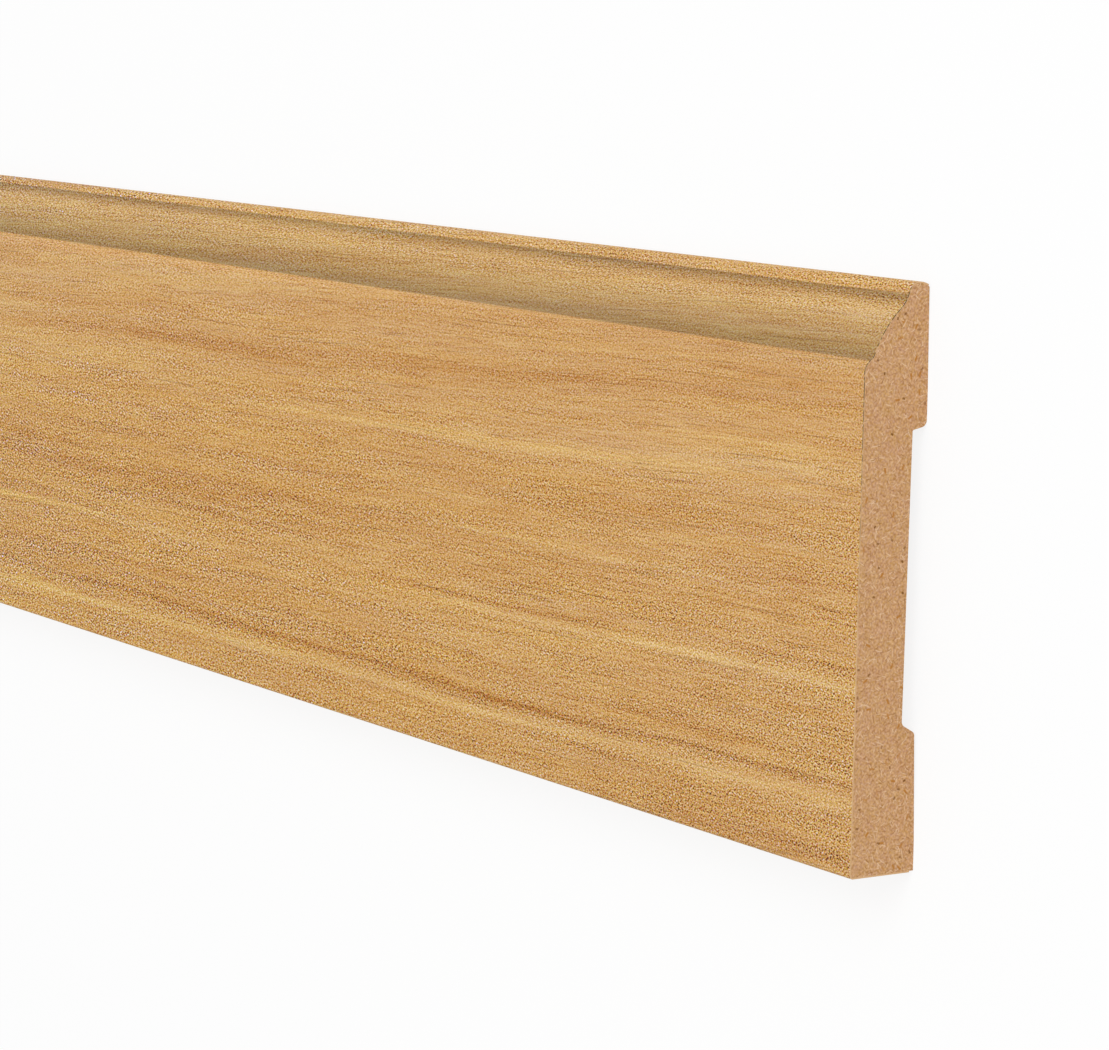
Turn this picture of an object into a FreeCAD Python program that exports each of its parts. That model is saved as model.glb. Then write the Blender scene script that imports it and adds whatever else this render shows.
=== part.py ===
import FreeCAD, Part
import math
import os
from collections import namedtuple

# A length of moulded skirting board: a core of medium density fibreboard (MDF),
# wrapped in a thin wood-decor foil over its face and over its top and bottom edges.
# Sizes are in millimetres and slopes in degrees.
# The board lies on its back. X runs along it, Y from the bottom edge towards the
# top edge, and Z from the plane of the back to the face. The origin is the middle
# of the footprint, on the plane of the back.

# Board, as it is sold
length = 2400.0
height = 120.0
thickness = 16.0

# Decor foil, trimmed short of the back at both edges
foil_thickness = 0.3
foil_bottom_margin = 1.0
foil_top_margin = 0.12

# Lower front corner
arris_radius = 0.8

# Moulded top edge, from the face backwards: nose, ledge, cove, ogee, bead, crown
nose_radius = 3.0
ledge_slope = 40.0
cove_radius = 1.0
ogee_foot_depth = 2.25
ogee_foot_drop = 14.4
ogee_bow = 13.5
hollow_chord = 3.0
crease_inset = 5.65
crease_drop = 2.7
bead_radius = 2.3
crown_fall = 27.0

# Relieved back: a foot below and a lip above, with a shallow recess between them.
# Both are flat in the lower part of their backs. Above it they taper, the lip up to
# the board's top and the foot up to the recess.
relief_at_lip = 3.5
relief_at_foot = 4.0
taper_bend_radius = 60.0
lip_drop = 29.7
lip_flat = 8.0
lip_taper = 0.38
lip_shoulder_slope = 12.0
lip_shoulder_radius = 1.5
lip_corner_radius = 0.4
foot_rise = 30.6
foot_flat = 6.0
foot_taper = 0.82
foot_shoulder_slope = 30.0
foot_shoulder_radius = 1.0
foot_corner_radius = 1.2

# Slopes of the outline on its straight sides, as it runs round from the bottom
# edge, up the face, over the top edge and down the back
TO_FACE = 180.0
UP = 90.0
TO_BACK = 0.0
DOWN = -90.0

# A place on the section's outline: its depth behind the face plane, its rise
# above the bottom edge, and the direction in which the outline runs there.
Station = namedtuple("Station", "depth rise slope")


def outward(slope):
    """Depth and rise of the unit vector that points out of the board at this slope."""
    angle = math.radians(slope)
    return -math.sin(angle), math.cos(angle)


def inset(station, distance):
    """The station moved into the board, square to the outline."""
    depth, rise = outward(station.slope)
    return Station(station.depth - distance * depth, station.rise - distance * rise, station.slope)


def travel(station, distance):
    """The station reached by going straight on."""
    angle = math.radians(station.slope)
    depth = station.depth + distance * math.cos(angle)
    rise = station.rise + distance * math.sin(angle)
    return Station(depth, rise, station.slope)


def turn(station, radius, slope):
    """The station at the end of an arc that turns to the given slope.

    The arc bulges where the slope falls and is hollow where it grows. A negative
    radius goes back along the arc that leads to the station.
    """
    side = radius if station.slope > slope else -radius
    leave_depth, leave_rise = outward(station.slope)
    reach_depth, reach_rise = outward(slope)
    depth = station.depth + side * (reach_depth - leave_depth)
    rise = station.rise + side * (reach_rise - leave_rise)
    return Station(depth, rise, slope)


def rounded_corner(depth, rise, slope_in, slope_out, radius):
    """The two stations where an arc of this radius rounds off a sharp corner."""
    reach = radius * math.tan(math.radians(abs(slope_in - slope_out)) / 2)
    before = travel(Station(depth, rise, slope_in), -reach)
    after = travel(Station(depth, rise, slope_out), reach)
    return [before, after]


def gap_to_line(station, line):
    """How far the straight line through the second station lies outward of the first."""
    depth, rise = outward(line.slope)
    return (line.depth - station.depth) * depth + (line.rise - station.rise) * rise


def crossing(station, line):
    """Depth and rise of the place where two straight lines cross."""
    climb = math.sin(math.radians(station.slope - line.slope))
    place = travel(station, gap_to_line(station, line) / climb)
    return place.depth, place.rise


def ogee():
    """Stations of the S-shaped slope: where it starts, where it turns hollow, where it ends.

    Both arcs stand on one straight chord and leave it at the same angle, the bow,
    so they share a tangent where they meet on the chord.
    """
    crease_depth = thickness - crease_inset
    run = crease_depth - ogee_foot_depth
    climb = ogee_foot_drop - crease_drop
    chord = math.hypot(run, climb)
    chord_slope = math.degrees(math.atan2(climb, run))
    bulge_radius = (chord - hollow_chord) / (2 * math.sin(math.radians(ogee_bow)))
    start = Station(ogee_foot_depth, height - ogee_foot_drop, chord_slope + ogee_bow)
    inflection = turn(start, bulge_radius, chord_slope - ogee_bow)
    end = Station(crease_depth, height - crease_drop, chord_slope + ogee_bow)
    return [start, inflection, end]


def nose_and_ledge(ogee_start):
    """Stations of the rounded nose above the flat face, and of the cove behind its ledge."""
    cove_start = turn(ogee_start, -cove_radius, ledge_slope)
    ledge_climb = cove_start.depth * math.tan(math.radians(ledge_slope))
    nose = rounded_corner(0.0, cove_start.rise - ledge_climb, UP, ledge_slope, nose_radius)
    return nose + [cove_start]


def bead_and_crown(ogee_end):
    """Stations of the bead's front and of its crown, which falls to the foil's edge."""
    bead_climb = bead_radius * (1 - math.cos(math.radians(ogee_end.slope)))
    flat = (crease_drop - bead_climb) / math.sin(math.radians(ogee_end.slope))
    bead_start = travel(ogee_end, flat)
    bead_top = turn(bead_start, bead_radius, TO_BACK)
    crown_width = thickness - lip_taper - foil_top_margin - bead_top.depth
    crown_radius = crown_width / math.sin(math.radians(crown_fall))
    crown_end = turn(bead_top, crown_radius, -crown_fall)
    return [bead_start, bead_top, crown_end]


def wrapped_side():
    """Stations of the foil's outside, from its bottom edge round to its top edge."""
    start = Station(thickness - foil_bottom_margin, 0.0, TO_FACE)
    arris = rounded_corner(0.0, 0.0, TO_FACE, UP, arris_radius)
    slope = ogee()
    return [start] + arris + nose_and_ledge(slope[0]) + slope + bead_and_crown(slope[-1])


def lean(back_off, climb):
    """The angle by which a surface backs off this far over this climb."""
    return math.degrees(math.atan2(back_off, climb))


def heel(crown_end, back):
    """The station where the rounded top corner meets the lip's tapered back."""
    bend = math.radians(crown_end.slope - back.slope)
    radius = gap_to_line(crown_end, back) / (1 - math.cos(bend))
    return turn(crown_end, radius, back.slope)


def lip(crown_end, recess_slope):
    """Stations from the foil's top edge down the lip's back and round its shoulder."""
    corner_rise = height - lip_drop
    flat_rise = corner_rise + lip_flat
    back = Station(thickness, flat_rise, DOWN + lean(lip_taper, height - flat_rise))
    slope = lip_shoulder_slope - TO_FACE
    shoulder_climb = relief_at_lip * math.tan(math.radians(lip_shoulder_slope))
    shoulder_rise = corner_rise + shoulder_climb
    floor = thickness - relief_at_lip
    stations = [crown_end, heel(crown_end, back)]
    stations += rounded_corner(thickness, flat_rise, back.slope, DOWN, taper_bend_radius)
    stations += rounded_corner(thickness, shoulder_rise, DOWN, slope, lip_shoulder_radius)
    return stations + rounded_corner(floor, corner_rise, slope, recess_slope, lip_corner_radius)


def foot(recess_slope):
    """Stations from the recess over the foot's shoulder and down its tapered back."""
    shoulder = Station(thickness - relief_at_foot, foot_rise, -foot_shoulder_slope)
    back = Station(thickness, foot_flat, DOWN + lean(foot_taper, foot_rise - foot_flat))
    peak_depth, peak_rise = crossing(shoulder, back)
    stations = rounded_corner(
        shoulder.depth, shoulder.rise, recess_slope, shoulder.slope, foot_corner_radius
    )
    stations += rounded_corner(peak_depth, peak_rise, shoulder.slope, back.slope, foot_shoulder_radius)
    return stations + rounded_corner(thickness, foot_flat, back.slope, DOWN, taper_bend_radius)


def bare_back(crown_end):
    """Stations of the bare back, from the foil's top edge down to the bottom edge."""
    recess_height = height - lip_drop - foot_rise
    recess_slope = DOWN - lean(relief_at_foot - relief_at_lip, recess_height)
    bottom = Station(thickness, foil_thickness, DOWN)
    return lip(crown_end, recess_slope) + foot(recess_slope) + [bottom]


def point(station):
    """The station's place on the section at the board's low X end."""
    return FreeCAD.Vector(-length / 2, station.rise - height / 2, thickness - station.depth)


def span(start, end):
    """The edge between two stations: straight, or the arc that is tangent at both."""
    first = point(start)
    last = point(end)
    bend = math.radians(abs(start.slope - end.slope))
    if bend == 0.0:
        return Part.LineSegment(first, last).toShape()
    radius = first.distanceToPoint(last) / (2 * math.sin(bend / 2))
    middle = turn(start, radius, (start.slope + end.slope) / 2)
    return Part.Arc(first, point(middle), last).toShape()


def spans(stations):
    """The edges along a run of stations."""
    return [span(start, end) for start, end in zip(stations, stations[1:])]


def join(start, end):
    """A straight edge between two stations, whatever their slopes."""
    return Part.LineSegment(point(start), point(end)).toShape()


def board_along(edges):
    """The solid that carries a closed outline along the board."""
    section = Part.Face(Part.Wire(edges))
    return section.extrude(FreeCAD.Vector(length, 0, 0))


def mdf_core():
    """The moulded core, square cut and bare at the back and at both ends."""
    under_foil = [inset(station, foil_thickness) for station in wrapped_side()]
    back = bare_back(under_foil[-1])
    return board_along(spans(under_foil) + spans(back) + [join(back[-1], under_foil[0])])


def oak_decor_foil():
    """The foil: a skin of even thickness round the face and both edges."""
    outside = wrapped_side()
    inside = [inset(station, foil_thickness) for station in outside]
    edges = spans(outside) + [join(outside[-1], inside[-1])]
    edges += spans(inside)[::-1] + [join(inside[0], outside[0])]
    return board_along(edges)


os.makedirs("parts", exist_ok=True)
mdf_core().exportStep("parts/mdf_core.step")
oak_decor_foil().exportStep("parts/oak_decor_foil.step")
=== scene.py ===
"""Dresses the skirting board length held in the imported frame.

The board lies on its back. X runs along it, Y from its bottom edge to its moulded
top edge, and Z from the plane of its back out of its face. The sizes in the classes
are in millimetres and the meshes are in metres.
"""

from __future__ import annotations

import logging
import math
from dataclasses import dataclass
from enum import Enum

import bpy
import numpy as np
from mathutils import Matrix, Vector

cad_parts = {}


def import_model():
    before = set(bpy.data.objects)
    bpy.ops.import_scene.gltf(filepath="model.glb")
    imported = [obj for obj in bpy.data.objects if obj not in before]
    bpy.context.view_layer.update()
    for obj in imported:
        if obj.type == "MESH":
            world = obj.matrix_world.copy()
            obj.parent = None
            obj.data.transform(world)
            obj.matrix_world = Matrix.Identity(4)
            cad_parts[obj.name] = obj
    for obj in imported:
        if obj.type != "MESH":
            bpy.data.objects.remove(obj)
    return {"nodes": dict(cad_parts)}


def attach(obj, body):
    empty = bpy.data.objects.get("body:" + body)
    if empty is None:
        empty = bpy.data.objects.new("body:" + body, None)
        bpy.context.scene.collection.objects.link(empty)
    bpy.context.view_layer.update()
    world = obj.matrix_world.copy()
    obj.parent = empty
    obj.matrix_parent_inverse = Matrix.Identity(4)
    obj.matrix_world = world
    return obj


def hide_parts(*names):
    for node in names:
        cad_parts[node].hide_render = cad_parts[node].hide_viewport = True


LOG = logging.getLogger("skirting_board")
MM = 0.001
WHITE = (1.0, 1.0, 1.0, 1.0)
# Neighbouring points of an arc differ by this many degrees and millimetres at most.
ARC_BEND = 3.0
ARC_STRIDE = 0.8
# Edges of a mesh that bend by more degrees than this stay sharp.
SHARP_BEND = 24.0
Colour = tuple[int, int, int]
Rows = tuple[tuple[float, ...], ...]


def linear(colour: Colour) -> tuple[float, ...]:
    """Turns a colour as a screen shows it into the light that a shader works with.

    Formula: each channel, as a share of 255, goes through the screen's curve: a
    straight line near black, and above it a power of 2.4.

    Args:
        colour: red, green and blue from 0 to 255.

    Returns:
        Red, green, blue and an alpha of 1.
    """
    share = np.asarray(colour, float) / 255.0
    light = np.where(share <= 0.04045, share / 12.92, ((share + 0.055) / 1.055) ** 2.4)
    return (*light.tolist(), 1.0)


class Heading(float, Enum):
    """Slopes of the outline on its straight sides, in degrees."""

    TO_FACE = 180.0
    UP = 90.0
    TO_BACK = 0.0
    DOWN = -90.0


@dataclass(frozen=True)
class Station:
    """A place on the section's outline.

    Attributes:
        depth: millimetres behind the face.
        rise: millimetres above the bottom edge.
        slope: the way that the outline runs, in degrees: 90 is up, 0 is to the back.
    """

    depth: float
    rise: float
    slope: float

    def outward(self) -> tuple[float, float]:
        """Depth and rise of the unit vector that points out of the board here."""
        angle = math.radians(self.slope)
        return -math.sin(angle), math.cos(angle)

    def inset(self, distance: float) -> Station:
        """The station moved into the board, square to the outline."""
        depth, rise = self.outward()
        return Station(self.depth - distance * depth, self.rise - distance * rise, self.slope)

    def travel(self, distance: float) -> Station:
        """The station reached by going straight on."""
        rise, depth = self.outward()
        return Station(self.depth + distance * depth, self.rise - distance * rise, self.slope)

    def turn(self, radius: float, slope: float) -> Station:
        """Follows an arc to a new slope.

        Formula: the arc's centre lies one radius inward where the outline bulges and
        one radius outward where it is hollow, so the end is the start plus the radius
        times the change of the outward unit vector.

        Args:
            radius: the arc's radius. A negative one goes back along the arc before.
            slope: the slope at the arc's other end.

        Returns:
            The station there.
        """
        side = radius if self.slope > slope else -radius
        leave = self.outward()
        reach = Station(0.0, 0.0, slope).outward()
        depth = self.depth + side * (reach[0] - leave[0])
        return Station(depth, self.rise + side * (reach[1] - leave[1]), slope)

    def rounded(self, slope: float, radius: float) -> list[Station]:
        """Rounds off a sharp corner that lies at this station.

        Formula: the arc touches both sides at the radius times the tangent of half the
        bend away from the corner.

        Args:
            slope: the slope after the corner.
            radius: the radius that rounds it off.

        Returns:
            The stations where the arc starts and ends.
        """
        reach = radius * math.tan(math.radians(abs(self.slope - slope)) / 2)
        return [self.travel(-reach), Station(self.depth, self.rise, slope).travel(reach)]

    def gap_to_line(self, line: Station) -> float:
        """How far the straight line through another station lies outward of this one."""
        depth, rise = line.outward()
        return (line.depth - self.depth) * depth + (line.rise - self.rise) * rise

    def crossing(self, line: Station) -> Station:
        """The place straight on where another station's straight line is met."""
        climb = math.sin(math.radians(self.slope - line.slope))
        return self.travel(self.gap_to_line(line) / climb)


def lean(back_off: float, climb: float) -> float:
    """The angle by which a surface backs off this far over this climb."""
    return math.degrees(math.atan2(back_off, climb))


def trace(stations: list[Station]) -> np.ndarray:
    """Follows the stations' lines and arcs.

    Formula: between two stations the slope runs evenly from the first to the second,
    and each point is the first station plus the arc's radius times the change of the
    outward unit vector. The radius is the straight distance between the stations
    over twice the sine of half the bend.

    Args:
        stations: the stations in order.

    Returns:
        Depth, rise and slope of every point, one row each.
    """
    runs = [np.array([[stations[0].depth, stations[0].rise, stations[0].slope]])]
    for start, end in zip(stations, stations[1:]):
        bend = abs(start.slope - end.slope)
        if bend < 1e-9:
            runs.append(np.array([[end.depth, end.rise, end.slope]]))
            continue
        straight = math.hypot(end.depth - start.depth, end.rise - start.rise)
        radius = straight / (2 * math.sin(math.radians(bend) / 2))
        side = radius if start.slope > end.slope else -radius
        strides = radius * math.radians(bend) / ARC_STRIDE
        count = max(2, math.ceil(bend / ARC_BEND), math.ceil(strides))
        slopes = np.linspace(start.slope, end.slope, count + 1)[1:]
        angles = np.radians(slopes)
        leave = start.outward()
        depth = start.depth + side * (-np.sin(angles) - leave[0])
        rise = start.rise + side * (np.cos(angles) - leave[1])
        runs.append(np.column_stack([depth, rise, slopes]))
    return np.vstack(runs)


@dataclass(frozen=True)
class Board:
    """The board as it is sold.

    Attributes:
        length: from end to end.
        height: from the bottom edge to the top of the moulding.
        thickness: over the flat parts of its back.
        top_taper: how much thinner it is at its top.
        divisions: how many stretches its meshes have along it.
    """

    length: float = 2400.0
    height: float = 120.0
    thickness: float = 16.0
    top_taper: float = 0.38
    divisions: int = 24

    def places(self) -> np.ndarray:
        """Evenly spaced places along the board."""
        return np.linspace(-self.length / 2, self.length / 2, self.divisions + 1)

    def sweep(self, ring: np.ndarray) -> np.ndarray:
        """Carries a ring of section points along the board.

        Formula: a point is the place along the board, the rise less half the height,
        and the thickness less the depth.

        Args:
            ring: depth, rise and slope of the ring's points.

        Returns:
            The points in metres, ring by ring from the low X end.
        """
        along, depth = np.meshgrid(self.places(), ring[:, 0], indexing="ij")
        rise = np.broadcast_to(ring[:, 1], depth.shape)
        place = np.stack([along, rise - self.height / 2, self.thickness - depth], axis=-1)
        return place.reshape(-1, 3) * MM

    def sides(self, size: int) -> np.ndarray:
        """Joins neighbouring rings with quads that face outwards.

        Formula: each quad has a point and the next one on a ring, and the same two on
        the ring after it.

        Args:
            size: how many points a ring has.

        Returns:
            Four point numbers a quad.
        """
        ring, point = np.meshgrid(np.arange(self.divisions), np.arange(size), indexing="ij")
        after = (point + 1) % size
        near = ring * size
        far = near + size
        quads = np.stack([near + point, far + point, far + after, near + after], axis=-1)
        return quads.reshape(-1, 4)


@dataclass(frozen=True)
class MouldedEdge:
    """The moulded top edge, from the face backwards: nose, ledge, cove, ogee, bead, crown."""

    board: Board
    nose_radius: float = 3.0
    ledge_slope: float = 40.0
    cove_radius: float = 1.0
    ogee_foot_depth: float = 2.25
    ogee_foot_drop: float = 14.4
    ogee_bow: float = 13.5
    hollow_chord: float = 3.0
    crease_inset: float = 5.65
    crease_drop: float = 2.7
    bead_radius: float = 2.3
    crown_fall: float = 27.0

    def ogee(self) -> list[Station]:
        """Lays out the S-shaped slope.

        Formula: both arcs stand on one straight chord and leave it at the same angle,
        the bow, so they share a tangent where they meet on the chord.

        Returns:
            The stations of its start, of the place where it turns hollow, and of its end.
        """
        crease_depth = self.board.thickness - self.crease_inset
        run = crease_depth - self.ogee_foot_depth
        climb = self.ogee_foot_drop - self.crease_drop
        slope = math.degrees(math.atan2(climb, run))
        chord = math.hypot(run, climb) - self.hollow_chord
        bulge_radius = chord / (2 * math.sin(math.radians(self.ogee_bow)))
        foot_rise = self.board.height - self.ogee_foot_drop
        start = Station(self.ogee_foot_depth, foot_rise, slope + self.ogee_bow)
        inflection = start.turn(bulge_radius, slope - self.ogee_bow)
        crease_rise = self.board.height - self.crease_drop
        return [start, inflection, Station(crease_depth, crease_rise, slope + self.ogee_bow)]

    def nose_and_ledge(self, start: Station) -> list[Station]:
        """Lays out the rounded nose above the flat face, and the ledge behind it.

        Args:
            start: the station where the ogee starts.

        Returns:
            The nose's two stations, and the one where the cove starts.
        """
        cove = start.turn(-self.cove_radius, self.ledge_slope)
        climb = cove.depth * math.tan(math.radians(self.ledge_slope))
        nose = Station(0.0, cove.rise - climb, Heading.UP)
        return [*nose.rounded(self.ledge_slope, self.nose_radius), cove]

    def bead_and_crown(self, crease: Station, crown_end_depth: float) -> list[Station]:
        """Lays out the bead's front and its crown, which falls to the foil's edge.

        Args:
            crease: the station where the ogee ends.
            crown_end_depth: the depth where the foil ends.

        Returns:
            The stations of the bead's start, of its top, and of the crown's end.
        """
        climb = self.bead_radius * (1 - math.cos(math.radians(crease.slope)))
        bead = crease.travel((self.crease_drop - climb) / math.sin(math.radians(crease.slope)))
        top = bead.turn(self.bead_radius, Heading.TO_BACK)
        crown_radius = (crown_end_depth - top.depth) / math.sin(math.radians(self.crown_fall))
        return [bead, top, top.turn(crown_radius, -self.crown_fall)]


@dataclass(frozen=True)
class RelievedBack:
    """The back: a foot below and a lip above, with a shallow recess between them.

    Both are flat in the lower part of their backs. Above it they taper, the lip up to
    the board's top and the foot up to the recess.
    """

    board: Board
    relief_at_lip: float = 3.5
    relief_at_foot: float = 4.0
    taper_bend_radius: float = 60.0
    lip_drop: float = 29.7
    lip_flat: float = 8.0
    lip_shoulder_slope: float = 12.0
    lip_shoulder_radius: float = 1.5
    lip_corner_radius: float = 0.4
    foot_rise: float = 30.6
    foot_flat: float = 6.0
    foot_taper: float = 0.82
    foot_shoulder_slope: float = 30.0
    foot_shoulder_radius: float = 1.0
    foot_corner_radius: float = 1.2

    def lip(self, crown_end: Station, recess_slope: float) -> list[Station]:
        """Follows the lip down its back and round its shoulder.

        Formula: the radius of the heel, the rounded top corner, is the gap from the
        crown's end to the back's line over 1 less the cosine of the bend.

        Args:
            crown_end: the station at the foil's top edge.
            recess_slope: the slope of the recess.

        Returns:
            The stations in order.
        """
        thickness = self.board.thickness
        corner = self.board.height - self.lip_drop
        flat = corner + self.lip_flat
        leaning = Heading.DOWN + lean(self.board.top_taper, self.board.height - flat)
        back = Station(thickness, flat, leaning)
        bend = math.radians(crown_end.slope - leaning)
        heel = crown_end.turn(crown_end.gap_to_line(back) / (1 - math.cos(bend)), leaning)
        slope = self.lip_shoulder_slope - Heading.TO_FACE
        climb = self.relief_at_lip * math.tan(math.radians(self.lip_shoulder_slope))
        shoulder = Station(thickness, corner + climb, Heading.DOWN)
        inner = Station(thickness - self.relief_at_lip, corner, slope)
        stations = [crown_end, heel, *back.rounded(Heading.DOWN, self.taper_bend_radius)]
        stations += shoulder.rounded(slope, self.lip_shoulder_radius)
        return stations + inner.rounded(recess_slope, self.lip_corner_radius)

    def foot(self, recess_slope: float) -> list[Station]:
        """Follows the foot over its shoulder and down its tapered back.

        Args:
            recess_slope: the slope of the recess.

        Returns:
            The stations in order.
        """
        slope = -self.foot_shoulder_slope
        leaning = Heading.DOWN + lean(self.foot_taper, self.foot_rise - self.foot_flat)
        inner = Station(self.board.thickness - self.relief_at_foot, self.foot_rise, recess_slope)
        back = Station(self.board.thickness, self.foot_flat, leaning)
        peak = Station(inner.depth, inner.rise, slope).crossing(back)
        stations = inner.rounded(slope, self.foot_corner_radius)
        stations += peak.rounded(leaning, self.foot_shoulder_radius)
        return stations + back.rounded(Heading.DOWN, self.taper_bend_radius)

    def stations(self, crown_end: Station, bottom_rise: float) -> list[Station]:
        """Follows the bare back from the foil's top edge to the core's bottom edge.

        Args:
            crown_end: the station at the foil's top edge.
            bottom_rise: the rise of the core's bottom edge.

        Returns:
            The stations in order.
        """
        height = self.board.height - self.lip_drop - self.foot_rise
        recess_slope = Heading.DOWN - lean(self.relief_at_foot - self.relief_at_lip, height)
        bottom = Station(self.board.thickness, bottom_rise, Heading.DOWN)
        return [*self.lip(crown_end, recess_slope), *self.foot(recess_slope), bottom]


@dataclass(frozen=True)
class Wrap:
    """The foil's path round the board, and its thickness."""

    board: Board
    edge: MouldedEdge
    thickness: float = 0.3
    bottom_margin: float = 1.0
    top_margin: float = 0.12
    arris_radius: float = 0.8

    def stations(self) -> list[Station]:
        """Follows the foil's outside from its bottom edge round to its top edge.

        Returns:
            The stations in order.
        """
        start = Station(self.board.thickness - self.bottom_margin, 0.0, Heading.TO_FACE)
        arris = Station(0.0, 0.0, Heading.TO_FACE).rounded(Heading.UP, self.arris_radius)
        slope = self.edge.ogee()
        crown_end_depth = self.board.thickness - self.board.top_taper - self.top_margin
        top = self.edge.bead_and_crown(slope[-1], crown_end_depth)
        return [start, *arris, *self.edge.nose_and_ledge(slope[0]), *slope, *top]


class Signal:
    """A value, vector or colour on its way through a node tree.

    Sums and products of signals place nodes, so that a finish reads as arithmetic.
    """

    def __init__(self, bench: Bench, socket: bpy.types.NodeSocket) -> None:
        """Remembers the bench and the socket that the signal comes from."""
        self.bench = bench
        self.socket = socket

    def apply(self, operation: str, *others: Term) -> Signal:
        """One step of arithmetic on this signal and others."""
        return self.bench.arithmetic(operation, self, *others)

    def __add__(self, other: Term) -> Signal:
        """Adds a term. A product that nothing reads yet takes it in, which saves a node.

        Args:
            other: what is added.

        Returns:
            The sum.
        """
        node = self.socket.node
        product = getattr(node, "operation", "") == "MULTIPLY" and not self.socket.is_linked
        if not product or is_wide(other) and not is_wide(self):
            return self.apply("ADD", other)
        node.operation = "MULTIPLY_ADD"
        self.bench.feed(node.inputs[2], other)
        return self

    def __sub__(self, other: Term) -> Signal:
        """This signal less the other."""
        return self.apply("SUBTRACT", other)

    def __mul__(self, other: Term) -> Signal:
        """The product of both."""
        return self.apply("MULTIPLY", other)

    def __truediv__(self, other: Term) -> Signal:
        """This signal over the other."""
        return self.apply("DIVIDE", other)

    def split(self) -> list[Signal]:
        """The three parts of a vector."""
        return self.bench.signals("SeparateXYZ", {0: self})

    def rise(self, low: float, high: float) -> Signal:
        """A smooth step: 0 at low, 1 at high, with an S between them."""
        inputs = dict(enumerate((self, low, high, 0.0, 1.0)))
        return self.bench.signals("MapRange", inputs, interpolation_type="SMOOTHSTEP")[0]

    def cells(self, length: float, width: float) -> Signal:
        """This place on the plane, counted in cells of a length and a width."""
        return self * (1 / length, 1 / width, 0.0)

    def cloud(self, length: float, width: float, seed: float, detail: float = 1.0) -> Signal:
        """Soft noise that is drawn out along the first part of this place.

        Formula: the place over the length and the width, moved by the seed, goes into
        smooth noise, and the result less its middle is scaled to a spread of about 1.

        Args:
            length: how long a patch is, in millimetres.
            width: how wide a patch is.
            seed: moves the pattern, so that no two are alike.
            detail: how many finer layers are added.

        Returns:
            A value about nought.
        """
        place = self.cells(length, width) + (seed, seed * 1.7, 0.0)
        return (self.bench.noise(place, detail)[0] - 0.5) * 7.0


Term = Signal | float | tuple[float, ...]
Inputs = dict[int | str, Term]


def is_wide(term: Term) -> bool:
    """Whether a term has more than one part, as a vector or a colour has."""
    return isinstance(term, tuple) or isinstance(term, Signal) and term.socket.type != "VALUE"


class Bench:
    """Adds nodes to one node tree and wires them."""

    def __init__(self, tree: bpy.types.NodeTree) -> None:
        """Starts with an empty tree."""
        self.tree = tree
        tree.nodes.clear()

    def feed(self, socket: bpy.types.NodeSocket, term: Term) -> None:
        """Links a socket to a signal, or sets it to a plain value.

        Args:
            socket: the socket of a node's input.
            term: what it gets. A number fills all parts of a vector.
        """
        if isinstance(term, Signal):
            self.tree.links.new(term.socket, socket)
        elif socket.type == "VECTOR" and not isinstance(term, tuple):
            socket.default_value = (term,) * 3
        else:
            socket.default_value = term

    def node(self, kind: str, inputs: Inputs, **settings: object) -> bpy.types.Node:
        """Adds one node.

        Args:
            kind: the node's type, without the word ShaderNode.
            inputs: what its inputs get, by their names or numbers.
            settings: the node's own properties.

        Returns:
            The new node.
        """
        made = self.tree.nodes.new("ShaderNode" + kind)
        for name, value in settings.items():
            setattr(made, name, value)
        for name, term in inputs.items():
            self.feed(made.inputs[name], term)
        return made

    def signals(self, kind: str, inputs: Inputs, **settings: object) -> list[Signal]:
        """Adds one node and gives the signals of its outputs in order."""
        return [Signal(self, socket) for socket in self.node(kind, inputs, **settings).outputs]

    def arithmetic(self, operation: str, *terms: Term) -> Signal:
        """Adds one step of arithmetic.

        Args:
            operation: what is done.
            terms: what it is done to. With a vector or colour among them, it is done
                part by part.

        Returns:
            The result. A dot product gives a value.
        """
        kind = "VectorMath" if any(map(is_wide, terms)) else "Math"
        outputs = self.signals(kind, dict(enumerate(terms)), operation=operation)
        return outputs[1 if operation == "DOT_PRODUCT" else 0]

    def join(self, x: Term, y: Term, z: Term = 0.0) -> Signal:
        """A vector from three parts."""
        return self.signals("CombineXYZ", {0: x, 1: y, 2: z})[0]

    def mix(self, share: Term, first: Term, second: Term) -> Signal:
        """The first colour with a share of the second."""
        return self.signals("Mix", {0: share, 6: first, 7: second}, data_type="RGBA")[2]

    def ramp(self, share: Signal, stops: list[tuple[float, tuple[float, ...]]]) -> Signal:
        """Reads a colour off a scale that runs straight between its stops.

        Args:
            share: the place on the scale, from 0 to 1.
            stops: the place and colour of each stop, in order.

        Returns:
            The colour.
        """
        made = self.node("ValToRGB", {0: share})
        elements = made.color_ramp.elements
        elements.remove(elements[1])
        elements[0].color = stops[0][1]
        for place, colour in stops[1:]:
            elements.new(place).color = colour
        return Signal(self, made.outputs[0])

    def noise(self, place: Signal, detail: float) -> list[Signal]:
        """Smooth noise on the plane, as a value and as a colour of three more."""
        inputs = {"Vector": place, "Scale": 1.0, "Detail": detail}
        return self.signals("TexNoise", inputs, noise_dimensions="2D")

    def turned(self, place: Signal, angle: Term) -> Signal:
        """A place turned on the plane by an angle in radians."""
        inputs = {"Vector": place, "Angle": angle}
        return self.signals("VectorRotate", inputs, rotation_type="Z_AXIS")[0]

    def place(self, group: bpy.types.NodeTree, **inputs: Term) -> dict[str, Signal]:
        """Places a node group and gives the signal of each of its outputs, by name."""
        outputs = self.signals("Group", inputs, node_tree=group)
        return {signal.socket.name: signal for signal in outputs}


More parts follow.
